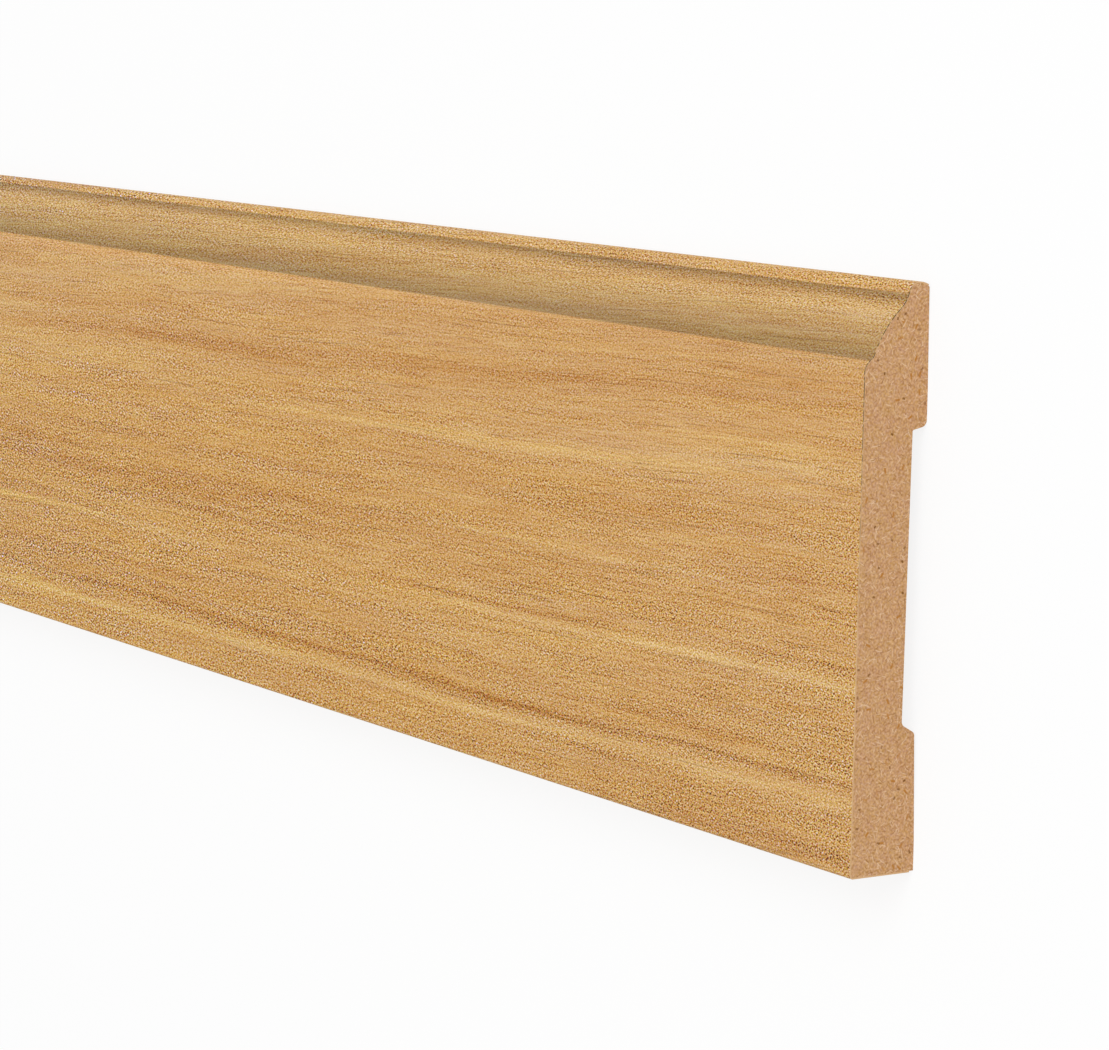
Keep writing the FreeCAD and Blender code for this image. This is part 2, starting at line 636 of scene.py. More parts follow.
class Group(Bench):
    """A bench for a shader node group."""

    def __init__(self, name: str, inputs: dict[str, str], outputs: tuple[str, ...]) -> None:
        """Starts the group.

        Args:
            name: the group's name.
            inputs: the type of each input, by name.
            outputs: the names of the outputs, which are plain values.
        """
        super().__init__(bpy.data.node_groups.new(name, "ShaderNodeTree"))
        face = self.tree.interface
        for label, kind in inputs.items():
            face.new_socket(name=label, in_out="INPUT", socket_type="NodeSocket" + kind)
        for label in outputs:
            face.new_socket(name=label, in_out="OUTPUT", socket_type="NodeSocketFloat")
        given = self.tree.nodes.new("NodeGroupInput")
        self.given = [Signal(self, given.outputs[label]) for label in inputs]
        self.result = self.tree.nodes.new("NodeGroupOutput")

    def finish(self, *results: Signal) -> bpy.types.NodeTree:
        """Wires the outputs.

        Args:
            results: the signals of the outputs, in order.

        Returns:
            The finished group.
        """
        for socket, signal in zip(self.result.inputs, results):
            self.feed(socket, signal)
        return self.tree


@dataclass(frozen=True)
class Surface:
    """How a finish takes the light.

    Attributes:
        roughness: how far its gloss is spread.
        specular: how strong its gloss is.
        variation: how much a soft noise changes the roughness.
        relief: how much of its relief shows.
        depth: the millimetres that a height of 1 stands for.
    """

    roughness: float
    specular: float
    variation: float = 0.0
    relief: float = 0.0
    depth: float = 0.0


class Finish(Bench):
    """A bench for a material, whose shader is wired to the output from the start."""

    def __init__(self, name: str) -> None:
        """Starts the material.

        Args:
            name: the material's name.
        """
        self.material = bpy.data.materials.new(name)
        self.material.use_nodes = True
        super().__init__(self.material.node_tree)
        self.shader = self.node("BsdfPrincipled", {})
        self.node("OutputMaterial", {"Surface": Signal(self, self.shader.outputs[0])})

    def spot(self) -> Signal:
        """The place on the board in millimetres, from the board's origin."""
        place = self.node("TexCoord", {}).outputs["Object"]
        return Signal(self, place) * (1 / MM)

    def coat(self, surface: Surface, colour: Signal) -> None:
        """Gives the shader its colour, and its roughness and gloss as plain numbers.

        Args:
            surface: how the finish takes the light.
            colour: its colour.
        """
        self.feed(self.shader.inputs["Base Color"], colour)
        self.feed(self.shader.inputs["Roughness"], surface.roughness)
        self.feed(self.shader.inputs["Specular IOR Level"], surface.specular)

    def emboss(self, surface: Surface, noise: Signal, height: Signal) -> None:
        """Varies the roughness, and lets the light fall as on a relief.

        Args:
            surface: how the finish takes the light.
            noise: changes the roughness. It lies about nought.
            height: the relief's height, about nought.
        """
        roughness = noise * surface.variation + surface.roughness
        self.feed(self.shader.inputs["Roughness"], roughness)
        inputs = {"Strength": surface.relief, "Distance": surface.depth * MM, "Height": height}
        self.feed(self.shader.inputs["Normal"], self.signals("Bump", inputs)[0])


class SharedEffects:
    """Node groups that more than one finish places, each built once."""

    def __init__(self) -> None:
        """Builds the groups."""
        self.strands = self.build_strands()
        self.spindle = self.build_spindle()
        self.grains = self.build_grains()

    def scatter(self, cells: Signal, kept: tuple[float, float], **shape: Term) -> Signal:
        """Marks strands, one to a cell, whose chance lies above the kept range's start."""
        strands = cells.bench.place(self.strands, Place=cells, **shape)
        return strands["Mark"] * strands["Chance"].rise(*kept)

    @staticmethod
    def build_strands() -> bpy.types.NodeTree:
        """Strands scattered one to a cell, such as pores in the grain or fibres in the board.

        Formula: each cell of a scattered pattern turns its own place by a random
        angle, bends it by the square of the distance along the strand, and is marked
        where it lies within the strand's length and width.

        Returns:
            A group with the inputs Place, Length, Width, Stray and Curl, and the
            outputs Mark and Chance.
        """
        numbers = dict.fromkeys(("Length", "Width", "Stray", "Curl"), "Float")
        group = Group("scattered_strands", {"Place": "Vector"} | numbers, ("Mark", "Chance"))
        place, length, width, stray, curl = group.given
        inputs = {"Vector": place, "Scale": 1.0}
        cell = group.signals("TexVoronoi", inputs, voronoi_dimensions="2D", feature="F1")
        swing, bend, chance = cell[1].split()
        turned = group.turned(place - cell[2], (swing - 0.5) * math.pi * stray)
        along, across, _ = turned.split()
        bowed = along * along * ((bend - 0.5) * curl) + across
        on_line = (bowed.apply("ABSOLUTE") / width).rise(1.0, 0.3)
        on_run = (along.apply("ABSOLUTE") / length).rise(1.0, 0.6)
        return group.finish(on_line * on_run, chance)

    @staticmethod
    def build_spindle() -> bpy.types.NodeTree:
        """One long soft streak of the figure, added to the streaks before it.

        Formula: the lift times e to the power of minus the squared distance from the
        streak's middle, with length and width counted in their own units.

        Returns:
            A group with the inputs Place, Middle, Spread, Lift and Before, and the
            output Tone.
        """
        inputs = dict.fromkeys(("Place", "Middle", "Spread"), "Vector")
        inputs |= {"Lift": "Float", "Before": "Float"}
        group = Group("figure_streak", inputs, ("Tone",))
        place, middle, spread, lift, before = group.given
        away = (place - middle) / spread
        bell = (away.apply("DOT_PRODUCT", away) * -1.0).apply("EXPONENT")
        return group.finish(bell * lift + before)

    @staticmethod
    def build_grains() -> bpy.types.NodeTree:
        """Fine grains that are lighter, darker, yellower or redder than their surroundings.

        Formula: three plain noises, each less its middle and scaled to a spread of 1.
        The place is turned by 0.6 radians, so that the rows of the noise's lattice run
        aslant.

        Returns:
            A group with the input Place and the outputs Grit, Tint and Blush.
        """
        group = Group("fine_grains", {"Place": "Vector"}, ("Grit", "Tint", "Blush"))
        noise = group.noise(group.turned(group.given[0], 0.6), 0.0)[1]
        return group.finish(*((noise - 0.5) * 6.27).split())


@dataclass(frozen=True)
class Streak:
    """One long streak of the foil's figure.

    Attributes:
        behind: millimetres from the high X end to the streak's middle.
        girth: the girth at its middle, which on the face is the rise.
        reach: half its length.
        spread: half its width.
        lift: how much lighter it is, or darker where negative.
    """

    behind: float
    girth: float
    reach: float
    spread: float
    lift: float


FIGURE = (
    Streak(200, 122.4, 90, 1.2, 0.35),
    Streak(25, 122.4, 60, 1.2, -0.20),
    Streak(30, 119.6, 50, 1.1, -0.30),
    Streak(35, 113.6, 60, 2.6, 0.32),
    Streak(205, 112.4, 75, 2.3, -0.46),
    Streak(320, 115.4, 70, 0.7, -0.40),
    Streak(310, 99.0, 110, 3.6, 0.45),
    Streak(335, 90.0, 45, 2.0, -0.25),
    Streak(340, 83.8, 80, 1.8, -0.45),
    Streak(245, 85.3, 60, 2.4, -0.70),
    Streak(150, 89.0, 50, 2.0, -0.45),
    Streak(60, 93.0, 50, 1.8, -0.35),
    Streak(360, 75.5, 75, 4.2, 0.55),
    Streak(100, 76.0, 70, 3.0, 0.50),
    Streak(25, 82.5, 45, 3.0, 0.35),
    Streak(205, 72.5, 70, 0.9, 0.60),
    Streak(155, 60.0, 24, 1.2, 0.60),
    Streak(85, 64.5, 40, 2.0, -0.35),
    Streak(325, 57.5, 90, 1.8, -0.30),
    Streak(365, 51.0, 45, 1.4, -0.55),
    Streak(330, 45.5, 95, 4.2, -0.42),
    Streak(225, 50.5, 75, 1.1, -0.60),
    Streak(20, 58.5, 40, 1.6, -0.40),
    Streak(120, 53.0, 70, 0.8, 0.45),
    Streak(280, 41.5, 55, 0.9, -0.65),
    Streak(140, 37.5, 50, 0.9, -0.70),
    Streak(30, 42.0, 45, 0.8, -0.50),
    Streak(40, 37.8, 55, 1.2, 1.05),
    Streak(150, 35.5, 50, 0.9, 0.55),
    Streak(365, 32.5, 60, 0.8, 0.90),
    Streak(280, 33.0, 60, 0.8, 0.50),
    Streak(330, 14.7, 60, 0.9, -0.95),
    Streak(240, 14.7, 60, 1.0, -1.15),
    Streak(130, 15.9, 50, 1.0, -1.25),
    Streak(40, 18.1, 50, 0.9, -0.95),
    Streak(330, 17.5, 90, 2.4, -0.30),
    Streak(340, 23.0, 80, 2.0, -0.35),
    Streak(50, 22.3, 55, 1.1, -0.50),
    Streak(360, 8.5, 65, 1.3, 1.00),
    Streak(240, 10.4, 60, 1.1, 0.80),
    Streak(140, 12.2, 50, 1.1, 0.75),
    Streak(40, 13.9, 55, 1.4, 0.85),
    Streak(95, 10.0, 20, 0.5, -0.60),
    Streak(30, 3.2, 45, 2.2, -0.55),
)


class OakFoil(Finish):
    """The light-oak decor of the foil's outside: figure, fine grain, pores and speckle, and painted
    shade on the moulding.

    The pattern follows the map that is wrapped round the board: first the place along
    it, then the girth, which on the flat face is the rise.

    Attributes:
        dark, middle, light: the wood's colours, by tone.
        pore: the colour of its pores.
        surface: how it takes the light.
        middle_rise: the rise of the board's middle.
        high_end: the place of the high X end.
        creep_span: two distances behind it, between which the decor changes slowly,
            which the methods call the creep.
        fan_start, fan_growth: how much the grain rises along the board, as a share of
            the way, at the bottom edge and for each millimetre of girth.
        swing: the distance over which that rise swings back.
        lift: the strength of the figure.
        reach: the tone at which the wood is light, or dark where negative.
        pore_layers: length, width and strength of the pores.
        grit_changes: two girths between which the speckle changes, by how much it
            changes, and by how much that grows with the creep.
        grit_limits: the least and the most that the tone and a noise make of it.
        small_grain, large_grain: length and width of the speckle's grains.
        deeper_cast: what the larger grains' grit adds to red, green and blue.
        grit_casts: what grit, tint and blush do to them.
        painted_shade_climb: how far the painted shade's levels below climb with the creep.
        painted_shade_levels: the rise above the bottom edge, and the share of light that the painted
            shade leaves there.
    """

    dark: Colour = (179, 121, 62)
    middle: Colour = (203, 158, 102)
    light: Colour = (222, 189, 131)
    pore: Colour = (128, 84, 42)
    surface: Surface = Surface(roughness=0.58, specular=0.12, variation=0.03, relief=0.25, depth=0.05)
    middle_rise: float = 60.0
    high_end: float = 1200.0
    creep_span: tuple[float, float] = (-60.0, 420.0)
    fan_start: float = 0.009
    fan_growth: float = 0.00024
    swing: float = 700.0
    lift: float = 1.15
    reach: float = 1.6
    pore_layers: Rows = ((38.0, 2.3, 0.50), (13.0, 1.5, 0.58), (6.0, 0.9, 0.42))
    grit_changes: Rows = (
        (35.0, 55.0, -0.16, 0.0),
        (68.0, 86.0, -0.22, 0.0),
        (90.0, 99.0, -0.04, -0.05),
        (103.4, 105.0, -0.13, 0.22),
        (108.5, 113.0, 0.24, -0.20),
        (113.0, 117.0, 0.12, 0.0),
        (120.9, 121.8, 0.15, 0.0),
    )
    grit_limits: tuple[float, float] = (0.62, 1.6)
    small_grain: tuple[float, float] = (0.52, 0.33)
    large_grain: tuple[float, float] = (0.90, 0.42)
    deeper_cast: tuple[float, ...] = (-0.008, 0.020, 0.17)
    grit_casts: Rows = ((0.23, 0.375, 0.78), (-0.055, -0.075, 0.22), (0.04, -0.055, 0.0))
    # Painted shade on the moulding: how far it climbs, and its share of light by rise.
    painted_shade_climb: float = 0.75
    painted_shade_levels: Rows = (
        (102.0, 1.0),
        (104.4, 1.0),
        (104.7, 0.545),
        (106.3, 0.59),
        (107.2, 0.66),
        (108.5, 0.73),
        (110.0, 0.785),
        (111.4, 0.84),
        (113.0, 0.925),
        (114.0, 0.955),
        (114.7, 0.915),
        (115.9, 0.755),
        (116.9, 0.58),
        (117.4, 0.55),
        (117.6, 0.97),
        (120.0, 0.96),
    )

    def __init__(self, effects: SharedEffects) -> None:
        """Builds the material on a map that is bent so that the grain fans out.

        Formula: the girth grows with the distance behind the high X end, by 0.9% of
        it and by another 0.024% for each millimetre of girth. The distance itself
        swings as a sine, so that the grain comes back further along the board. A
        slow noise adds a wander of about a millimetre.

        Args:
            effects: the shared node groups.
        """
        super().__init__("oak_decor_foil_finish")
        self.effects = effects
        self.wrap = self.signals("UVMap", {}, uv_map="foil_wrap")[0] * (1 / MM, 1 / MM, 0.0)
        along, self.girth, _ = self.wrap.split()
        self.behind = along * -1.0 + self.high_end
        self.creep = self.behind.rise(*self.creep_span)
        lag = (self.behind / self.swing).apply("SINE") * self.swing
        fan = self.girth * self.fan_growth + self.fan_start
        wander = self.join(self.behind, self.girth).cloud(90.0, 14.0, 3.0)
        self.grain = self.join(self.behind, wander * 0.5 + (lag * fan + self.girth))

        tone = self.figure()
        colour, relief = self.pores(self.tinted(tone))
        # The moulding gets painted shade in its cove, under its bead and on its nose.
        colour = self.moulded(self.speckled(self.grit_share(tone), colour))
        self.coat(self.surface, colour)
        self.emboss(self.surface, self.grain.cloud(30.0, 0.8, 91.0), relief)

    def line_of(self, streak: Streak) -> float:
        """The grain line, counted at the high X end, that runs through a streak's middle."""
        lag = math.sin(streak.behind / self.swing) * self.swing
        return streak.girth + lag * (self.fan_start + self.fan_growth * streak.girth)

    def figure(self) -> Signal:
        """Adds up the streaks and four noises, from the broadest to the finest.

        Returns:
            The wood's tone, about nought.
        """
        tone: Term = 0.0
        for streak in FIGURE:
            middle = (streak.behind, self.line_of(streak), 0.0)
            sizes = {"Middle": middle, "Spread": (streak.reach, streak.spread, 1.0)}
            sizes |= {"Lift": streak.lift * self.lift, "Before": tone}
            tone = self.place(self.effects.spindle, Place=self.grain, **sizes)["Tone"]
        further = self.behind.rise(330.0, 480.0)
        tone = self.grain.cloud(260.0, 9.0, 11.0) * (further * 0.25 + 0.08) + tone
        tone = self.grain.cloud(90.0, 2.6, 23.0) * (further * 0.14 + 0.11) + tone
        tone = self.grain.cloud(40.0, 0.9, 37.0, 2.0) * 0.16 + tone
        return self.grain.cloud(14.0, 0.30, 41.0) * 0.33 + tone

    def tinted(self, tone: Signal) -> Signal:
        """Turns the tone into wood colour, from dark to light over the reach either way.

        Formula: the colour is multiplied by 1 plus a slow noise that makes long patches
        more yellow or more grey. Away from the high X end it turns warmer low on the
        face and a little paler high on it.

        Args:
            tone: the wood's tone.

        Returns:
            The wood's colour.
        """
        stops = ((0.0, self.dark), (0.5, self.middle), (1.0, self.light))
        wood = self.ramp(
            tone * (0.5 / self.reach) + 0.5, [(place, linear(colour)) for place, colour in stops]
        )
        hue = self.grain.cloud(70.0, 3.0, 29.0) * (-0.010, -0.007, 0.035) + 1.0
        low = self.girth.rise(55.0, 104.0) * (0.012, 0.05, 0.24) + (0.01, -0.004, -0.21)
        further = self.girth.rise(104.0, 106.0) * (0.0, -0.01, -0.09) + low
        return wood * (self.creep * further + hue)

    def pores(self, colour: Signal) -> tuple[Signal, Signal]:
        """Draws short dark pores of three sizes along the grain.

        Args:
            colour: the wood's colour.

        Returns:
            The colour with its pores, and a height that sinks at each.
        """
        marks: Term = 0.0
        shape = {"Length": 0.45, "Width": 0.07, "Stray": 0.02, "Curl": 0.2}
        for length, width, strength in self.pore_layers:
            cells = self.grain.cells(length, width)
            mark = self.effects.scatter(cells, (0.55, 1.0), **shape) * strength
            marks = mark.apply("MAXIMUM", marks)
        relief = self.grain.cloud(12.0, 0.35, 41.0) * 0.15 - marks
        return self.mix(marks, colour, linear(self.pore)), relief

    def grit_share(self, tone: Signal) -> Signal:
        """Works out how strong the speckle is.

        Formula: it is strong low on the face and on the bead, weaker high on the face
        and faint in the cove. The sum of these changes is multiplied by 1 less half the
        tone, so that the speckle grows where the wood is dark, plus a slow noise.

        Args:
            tone: the wood's tone.

        Returns:
            The strength, about 1.
        """
        share: Term = 1.0
        for low, high, change, shift in self.grit_changes:
            share = self.girth.rise(low, high) * (self.creep * shift + change) + share
        local = self.grain.cloud(45.0, 5.0, 53.0) * 0.15 + (tone * -0.5 + 1.0)
        least, most = self.grit_limits
        return share * local.apply("MAXIMUM", least).apply("MINIMUM", most)

    def speckled(self, share: Signal, colour: Signal) -> Signal:
        """Adds the print's fine speckle, which is coarser further from the high X end.

        Formula: green is multiplied by 1 plus a share of the grains' random numbers,
        and red by the same less 0.6 times its square, which deepens the dark grains.
        Blue is multiplied by the middle between 1 plus the share and e to its power,
        less 0.30 times the squared share, which keeps blue above nought and holds its
        mean. Grit counts most for blue and least for red, tint trades yellow for blue,
        and blush trades green for red. The share of the larger grains, whose blue is
        deeper, creeps up along the board.

        Args:
            share: how strong the speckle is.
            colour: the colour under it.

        Returns:
            The speckled colour.
        """
        large = self.wrap.cells(*self.large_grain) + (41.3, 17.9, 0.0)
        near = self.place(self.effects.grains, Place=self.wrap.cells(*self.small_grain))
        far = self.place(self.effects.grains, Place=large)
        near_share = self.creep * -0.60 + 1.0
        far_share = self.creep * 0.95 + 0.15
        change = far["Grit"] * far_share * self.deeper_cast
        for label, cast in zip(near, self.grit_casts):
            change = (near[label] * near_share + far[label] * far_share) * cast + change
        red, green, blue = change.split()
        red = red * share
        red = red * (red * -0.6 + 1.0) + 1.028
        green = green * share + 1.0
        power = ((share * -0.30 + blue) * share).apply("EXPONENT")
        blue = (blue * share + 1.0 + power) * 0.5
        return colour * self.join(red, green, blue).apply("MAXIMUM", 0.05)

    def moulded(self, colour: Signal) -> Signal:
        """Paints shade on the moulding: darker in its cove and in the crease under its bead.

        Formula: the colour times a curve of the rise above the bottom edge, which is painted
        shade and climbs with the creep. The nose gets painted shade too, about 9% darker at
        the high X end itself. The painted shade in the cove has a little olive cast, and less above
        it.

        Args:
            colour: the foil's colour under even light.

        Returns:
            The colour with its painted shade.
        """
        rise = self.creep * -self.painted_shade_climb + self.spot().split()[1] + self.middle_rise
        low = self.painted_shade_levels[0][0]
        span = self.painted_shade_levels[-1][0] - low
        levels = [((at - low) / span, (level,) * 3 + (1.0,)) for at, level in self.painted_shade_levels]
        # Painted shade: the curve darkens the cove and the crease under the bead.
        scaled = self.ramp((rise - low) / span, levels) * colour
        # Mask of the cove's painted shade; the painted shade there has an olive cast, and less of it
        # near the crease.
        hollow = rise.rise(104.3, 104.9)
        painted_shade_olive = self.mix(hollow, WHITE, (1.0, 1.085, 1.15, 1.0))
        painted_shade_olive = self.mix(rise.rise(114.5, 115.8), painted_shade_olive, (1.0, 1.035, 1.08, 1.0))
        # Painted shade on the nose, about 9% darker at the high X end, fading along the board.
        nose = rise.rise(101.8, 103.2) - hollow
        return scaled * (nose * (self.creep * 0.095 + -0.09) + 1.0) * painted_shade_olive


class FoilCutEdge(Finish):
    """The foil's cut edge: pale paper, with a broken dark rim that fades out lower down."""

    rim: Colour = (96, 78, 54)
    paper: Colour = (206, 168, 124)
    surface: Surface = Surface(roughness=0.8, specular=0.2)

    def __init__(self) -> None:
        """Builds the material.

        Formula: the rim is the outer half of the foil's thickness. It shows above the
        middle of the board as far as the top of the bead, and a noise breaks it.
        """
        super().__init__("foil_cut_edge_finish")
        inward = self.signals("UVMap", {}, uv_map="foil_ply")[0].split()[0]
        _, across, depth = self.spot().split()
        flat = self.join(across, depth)
        broken = flat.cloud(1.0, 1.0, 5.0, 2.0).rise(-1.3, 0.2)
        high = (flat.cloud(9.0, 3.0, 8.0) * 6.0 + across).rise(-18.0, 46.0)
        mark = high * broken * (inward.rise(0.85, 0.55) * depth.rise(3.6, 5.4))
        self.coat(self.surface, self.mix(mark, linear(self.paper), linear(self.rim)))


class Cut(Enum):
    """How a surface of the fibreboard was cut."""

    SAWN = "sawn_mdf_finish"
    MILLED = "milled_mdf_finish"


class Fibreboard(Finish):
    """Raw fibreboard: fine mottling, pale and brown fibres and a few dark flecks.

    Attributes:
        base: the colour that the rest is laid over.
        shade: the colour of dips and milled lines.
        pale_fibre, brown_fibre, ochre, fleck: the colours of what lies on it.
        surface: how it takes the light.
        layers: each layer's size of cells, length, width and curl of its fibres,
            strength, scarcity and colour.
    """

    base: Colour = (196, 152, 108)
    shade: Colour = (152, 104, 58)
    pale_fibre: Colour = (226, 194, 160)
    brown_fibre: Colour = (152, 104, 54)
    ochre: Colour = (174, 114, 38)
    fleck: Colour = (114, 72, 18)
    surface: Surface = Surface(roughness=0.88, specular=0.2, variation=0.03, relief=0.4, depth=0.06)
    layers: tuple[tuple, ...] = (
        (1.1, 0.46, 0.100, 0.8, 0.68, 0.30, pale_fibre),
        (1.6, 0.44, 0.085, 1.0, 0.72, 0.30, pale_fibre),
        (2.6, 0.34, 0.055, 1.3, 0.72, 0.30, pale_fibre),
        (4.1, 0.30, 0.045, 1.1, 0.62, 0.40, pale_fibre),
        (1.3, 0.45, 0.095, 0.9, 0.62, 0.30, brown_fibre),
        (2.0, 0.38, 0.070, 1.2, 0.68, 0.30, brown_fibre),
        (3.1, 0.24, 0.110, 0.8, 0.85, 0.64, ochre),
        (3.6, 0.12, 0.090, 0.3, 0.75, 0.70, fleck),
        (5.3, 0.07, 0.060, 0.0, 0.90, 0.55, fleck),
    )

    def __init__(self, cut: Cut, effects: SharedEffects) -> None:
        """Builds the material, whose pattern lies flat on the surface.

        Args:
            cut: how the surface was cut.
            effects: the shared node groups.
        """
        super().__init__(cut.value)
        self.effects = effects
        along, across, depth = self.spot().split()
        sawn = cut is Cut.SAWN
        self.flat = self.join(across, depth) if sawn else self.join(along, across + depth)
        colour, relief = self.fibres(self.mottled())
        if not sawn:
            lines = self.flat.cloud(160.0, 0.7, 77.0, 2.0)
            colour = self.mix(lines.apply("ABSOLUTE") * 0.09, colour, linear(self.shade))
            relief = lines * 0.3 + relief
        self.coat(self.surface, colour)
        self.emboss(self.surface, self.flat.cloud(2.0, 2.0, 19.0), relief)

    def mottled(self) -> Signal:
        """Multiplies the base by 1 plus four noises, each with its own cast.

        Returns:
            The colour.
        """
        grains = self.place(self.effects.grains, Place=self.flat.cells(0.50, 0.50))
        factor = grains["Grit"] * (0.078, 0.110, 0.180) + 1.0
        factor = grains["Tint"] * (-0.024, -0.022, 0.056) + factor
        factor = self.flat.cloud(2.1, 2.1, 13.0) * (0.016, 0.023, 0.038) + factor
        factor = self.flat.cloud(2.8, 2.8, 47.0) * (-0.006, -0.013, 0.026) + factor
        return factor * linear(self.base)[:3]

    def fibres(self, colour: Signal) -> tuple[Signal, Signal]:
        """Lays dips, fibres and flecks over the mottled base.

        Args:
            colour: the base's colour.

        Returns:
            The colour, and a height that the bump reads.
        """
        fine = self.flat.cloud(0.75, 0.75, 7.0, 2.0)
        colour = self.mix(fine.apply("MAXIMUM", 0.0) * 0.20, colour, linear(self.shade))
        height = fine * 0.25
        for index, (cell, length, width, curl, strength, scarcity, tint) in enumerate(self.layers):
            cells = self.flat.cells(cell, cell) + (31.7 * index, 17.3 * index, 0.0)
            shape = {"Length": length, "Width": width, "Stray": 1.0, "Curl": curl}
            mark = self.effects.scatter(cells, (scarcity, 0.95), **shape)
            colour = self.mix(mark * strength, colour, linear(tint))
            height = mark * 0.4 + height
        return colour, height


def new_piece(name: str, points: np.ndarray, faces: list[list[int]]) -> bpy.types.Object:
    """Makes a mesh object in the scene, smooth but for its sharp edges.

    Args:
        name: the piece's name.
        points: the mesh's points in metres.
        faces: the point numbers of each face.

    Returns:
        The object, at the origin.
    """
    mesh = bpy.data.meshes.new(name)
    mesh.from_pydata(points, [], faces)
    mesh.polygons.foreach_set("use_smooth", np.ones(len(faces), bool))
    mesh.set_sharp_from_angle(angle=math.radians(SHARP_BEND))
    mesh.update()
    piece = bpy.data.objects.new(name, mesh)
    bpy.context.scene.collection.objects.link(piece)
    return piece


def dress_ends(piece: bpy.types.Object, finishes: list[Finish], ends: int) -> None:
    """Gives a piece the first finish all over, and the second on its last faces.

    Args:
        piece: the piece.
        finishes: both finishes.
        ends: how many faces the sawn ends have, which come last.
    """
    for finish in finishes:
        piece.data.materials.append(finish.material)
    kinds = np.zeros(len(piece.data.polygons), np.int32)
    kinds[-ends:] = 1
    piece.data.polygons.foreach_set("material_index", kinds)


def bind(piece: bpy.types.Object, node: str) -> None:
    """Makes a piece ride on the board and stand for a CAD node.

    Args:
        piece: the piece.
        node: the CAD node that it stands for.
    """
    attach(piece, "root")
    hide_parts(node)


@dataclass(frozen=True)
class FibreCore:
    """The fibreboard core: moulded in front, relieved behind and square cut at both ends."""

    wrap: Wrap
    back: RelievedBack

    def ring(self) -> np.ndarray:
        """Traces the wrapped side less the foil's thickness, and then the back.

        Returns:
            Depth, rise and slope of the outline's points.
        """
        under_foil = [station.inset(self.wrap.thickness) for station in self.wrap.stations()]
        back = self.back.stations(under_foil[-1], self.wrap.thickness)
        return trace(under_foil + back[1:])

    def build(self) -> bpy.types.Object:
        """Sweeps the outline and closes both ends with one face each.

        Returns:
            The piece.
        """
        board = self.wrap.board
        ring = self.ring()
        size = len(ring)
        first = list(range(size))
        last = [board.divisions * size + point for point in reversed(first)]
        return new_piece("fibre_core", board.sweep(ring), board.sides(size).tolist() + [first, last])

    def dress(self, piece: bpy.types.Object, effects: SharedEffects) -> None:
        """Gives the back the milled finish and the two ends the sawn one."""
        dress_ends(piece, [Fibreboard(cut, effects) for cut in (Cut.MILLED, Cut.SAWN)], 2)


@dataclass(frozen=True)
class DecorFoil:
    """The decor foil, an even skin round the face and both edges."""

    wrap: Wrap

    def skins(self) -> tuple[np.ndarray, np.ndarray]:
        """Traces both sides of the foil.

        Formula: an inside point is its outside point less the thickness times the
        outward unit vector there.

        Returns:
            The points of its outside, and those of its inside, point for point.
        """
        outside = trace(self.wrap.stations())
        angles = np.radians(outside[:, 2])
        outward = np.column_stack([-np.sin(angles), np.cos(angles), np.zeros(len(angles))])
        return outside, outside - self.wrap.thickness * outward

    @staticmethod
    def girth(outside: np.ndarray) -> np.ndarray:
        """Measures the map's second part.

        Formula: the distance along the outline, moved so that on the flat face it is
        the rise above the bottom edge.

        Args:
            outside: the points of the foil's outside.

        Returns:
            The girth of each point in metres.
        """
        steps = np.hypot(*np.diff(outside[:, :2], axis=0).T)
        distance = np.concatenate([[0.0], np.cumsum(steps)])
        on_face = int(np.argmax(outside[:, 0] < 1e-9))
        return (distance - distance[on_face] + outside[on_face, 1]) * MM

    def build(self) -> bpy.types.Object:
        """Sweeps the closed ring of both skins and closes its ends with strips of quads.

        Returns:
            The piece, with the maps that its finishes follow.
        """
        board = self.wrap.board
        outside, inside = self.skins()
        count = len(outside)
        ring = np.vstack([outside, inside[::-1]])
        point = np.arange(count - 1)
        strip = np.stack([point, 2 * count - 1 - point, 2 * count - 2 - point, point + 1], axis=-1)
        high_end = strip + board.divisions * 2 * count
        faces = np.vstack([board.sides(2 * count), strip[:, ::-1], high_end])
        piece = new_piece("decor_foil", board.sweep(ring), faces.tolist())
        girth = self.girth(outside)
        rings = board.divisions + 1
        along = np.repeat(board.places() * MM, 2 * count)
        self.map_points(piece, "foil_wrap", along, np.tile([*girth, *girth[::-1]], rings))
        inward = np.tile(np.repeat([0.0, 1.0], count), rings)
        self.map_points(piece, "foil_ply", inward, np.zeros_like(inward))
        return piece

    @staticmethod
    def map_points(piece: bpy.types.Object, name: str, first: np.ndarray, second: np.ndarray) -> None:
        """Writes a map from two values at each of the mesh's points.

        Args:
            piece: the piece.
            name: the map's name.
            first: the map's first part, point by point.
            second: its second part.
        """
        mesh = piece.data
        points = np.empty(len(mesh.loops), np.int32)
        mesh.loops.foreach_get("vertex_index", points)
        layer = mesh.uv_layers.new(name=name)
        layer.data.foreach_set("uv", np.column_stack([first[points], second[points]]).ravel())

    def dress(self, piece: bpy.types.Object, effects: SharedEffects) -> None:
        """Gives the skins the oak decor and the sawn ends the cut edge's finish."""
        ends = 2 * (len(self.skins()[0]) - 1)
        dress_ends(piece, [OakFoil(effects), FoilCutEdge()], ends)


